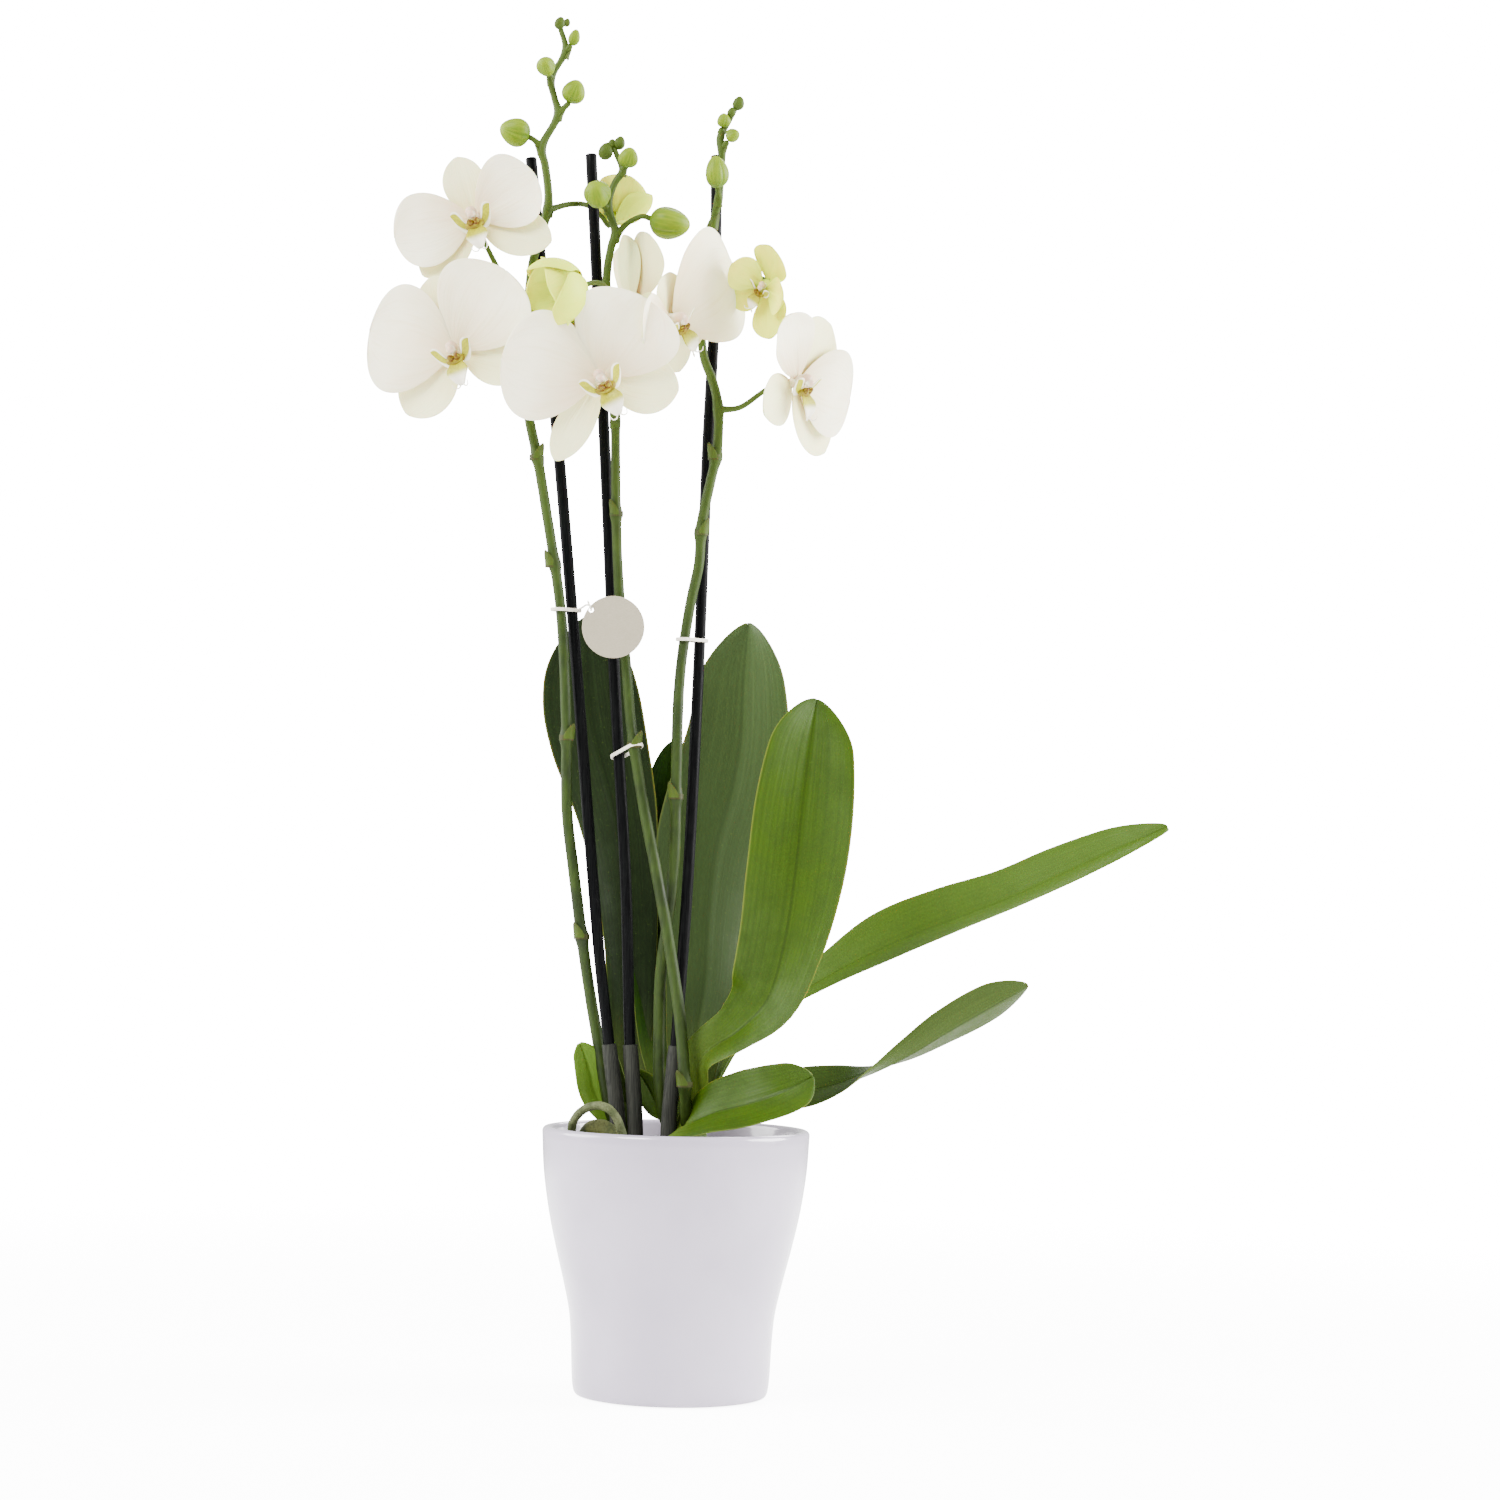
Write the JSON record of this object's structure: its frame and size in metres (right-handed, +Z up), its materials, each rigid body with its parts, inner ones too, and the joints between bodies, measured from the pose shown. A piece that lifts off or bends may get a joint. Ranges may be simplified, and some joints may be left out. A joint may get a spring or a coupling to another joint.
{
  "type": "potted orchid",
  "caption": "Moth orchid with white flowers, buds and broad leaves on staked stems, standing in a tapered white glazed cover pot, with a round blank tag.",
  "frame": {"origin": "centre of the cover pot's flat underside", "axes": "+Z up along the plant, +X to the right and +Y away from the side that is looked at, where the long leaves reach to +X"},
  "size_m": [0.4204, 0.139, 0.7082],
  "materials": {
    "white_glaze": "gloss",
    "clear_plastic": "gloss",
    "bark": "matte",
    "black_plastic": "satin",
    "grey_plastic": "satin",
    "cream_plastic": "matte",
    "tag_card": "matte",
    "crown_green": "satin",
    "leaf_dark": "satin",
    "leaf_grey_green": "satin",
    "leaf_bright": "satin",
    "leaf_deep": "satin",
    "leaf_pale": "satin",
    "stem_green": "satin",
    "petal_white": "matte",
    "petal_green": "matte",
    "lip_yellow": "satin",
    "bud_green": "satin",
    "root_silver": "matte",
    "root_green": "matte"
  },
  "bodies": {
    "root": {"ceramic_pot": "white_glaze", "nursery_pot": "clear_plastic", "bark_medium": "bark", "stake_left": "black_plastic", "stake_foot_left": "grey_plastic", "stake_middle": "black_plastic", "stake_foot_middle": "grey_plastic", "stake_right": "black_plastic", "stake_foot_right": "grey_plastic", "crown_left": "crown_green", "crown_right": "crown_green", "stem_left": "stem_green", "stem_middle": "stem_green", "stem_right": "stem_green", "root_arch": "root_silver", "root_mass": "root_green", "leaf_1": "leaf_dark", "leaf_2": "leaf_grey_green", "leaf_3": "leaf_bright", "leaf_4": "leaf_deep", "leaf_5": "leaf_bright", "leaf_6": "leaf_pale", "leaf_7": "leaf_bright", "leaf_8": "leaf_bright", "leaf_9": "leaf_bright", "leaf_10": "leaf_bright", "bud_left_1": "bud_green", "bud_left_2": "bud_green", "bud_left_3": "bud_green", "bud_left_4": "bud_green", "bud_middle_1": "bud_green", "bud_middle_2": "bud_green", "bud_middle_3": "bud_green", "bud_right_1": "bud_green", "bud_right_2": "bud_green", "bud_right_3": "bud_green", "flower_a": "petal_white", "lip_a": "lip_yellow", "flower_b": "petal_white", "lip_b": "lip_yellow", "flower_c": "petal_green", "flower_d": "petal_white", "lip_d": "lip_yellow", "flower_e": "petal_white", "lip_e": "lip_yellow", "flower_f": "petal_green", "lip_f": "lip_yellow", "flower_g": "petal_white", "lip_g": "lip_yellow", "flower_h": "petal_green", "flower_i": "petal_white", "tie_left": "cream_plastic", "tie_middle": "cream_plastic", "tie_right": "cream_plastic", "tag": "tag_card", "tag_string": "cream_plastic"}
  },
  "joints": []
}
